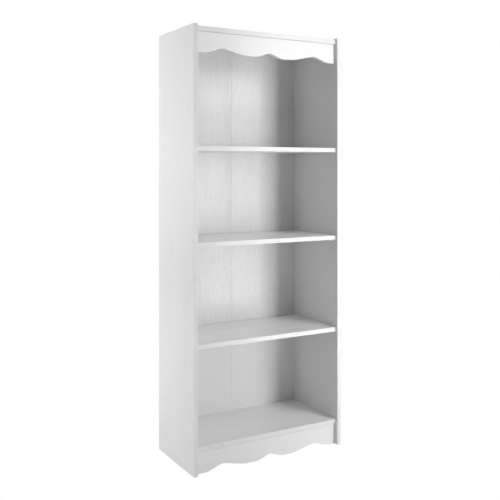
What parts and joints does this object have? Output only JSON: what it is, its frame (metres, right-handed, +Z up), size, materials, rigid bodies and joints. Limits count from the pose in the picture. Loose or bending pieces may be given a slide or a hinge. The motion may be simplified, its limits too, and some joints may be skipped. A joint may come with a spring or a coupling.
{
  "type": "bookcase",
  "caption": "Tall narrow white bookcase with fixed and adjustable shelves, a scalloped valance under the top and a scalloped apron at the base.",
  "frame": {"origin": "on the floor, in the middle of the footprint", "axes": "+Z up along the height, +X to the right seen from the front, +Y to the rear"},
  "size_m": [0.61, 0.3, 1.524],
  "materials": {
    "white_laminate": "satin white foil on particle board",
    "white_rail": "satin white foil on fibreboard",
    "grained_back": "white fibreboard with a faint printed grain",
    "fold_tape": "matt",
    "edge_band": "semi-gloss",
    "zinc_steel": "zinc plated",
    "bracket_steel": "zinc plated",
    "cover_plastic": "matt",
    "pin_plastic": "satin",
    "beech": "bare"
  },
  "bodies": {
    "case": {"left_side_panel": "white_laminate", "right_side_panel": "white_laminate", "top_panel": "white_laminate", "fixed_shelf": "white_laminate", "bottom_shelf": "white_laminate", "top_valance": "white_rail", "base_apron": "white_rail", "back_board_left": "grained_back", "back_board_right": "grained_back", "back_fold_tape": "fold_tape", "left_side_edge_band": "edge_band", "right_side_edge_band": "edge_band", "top_panel_edge_band": "edge_band", "fixed_shelf_edge_band": "edge_band", "bottom_shelf_edge_band": "edge_band", "connecting_screws": "zinc_steel", "corner_block_screws": "zinc_steel", "wall_bracket_screws": "zinc_steel", "back_board_nails": "zinc_steel", "wall_brackets": "bracket_steel", "screw_covers": "cover_plastic", "upper_shelf_pins": "pin_plastic", "lower_shelf_pins": "pin_plastic", "valance_corner_blocks": "pin_plastic", "apron_corner_blocks": "pin_plastic", "shelf_dowels": "beech", "valance_dowels": "beech", "apron_dowels": "beech"},
    "upper_shelf": {"upper_adjustable_shelf": "white_laminate", "upper_adjustable_shelf_edge_band": "edge_band"},
    "lower_shelf": {"lower_adjustable_shelf": "white_laminate", "lower_adjustable_shelf_edge_band": "edge_band"}
  },
  "joints": [
    {"name": "upper_shelf_draw", "type": "slide", "parent": "case", "child": "upper_shelf", "axis": [0, -1, 0], "range_m": [0, 0.29]},
    {"name": "lower_shelf_draw", "type": "slide", "parent": "case", "child": "lower_shelf", "axis": [0, -1, 0], "range_m": [0, 0.29]}
  ]
}
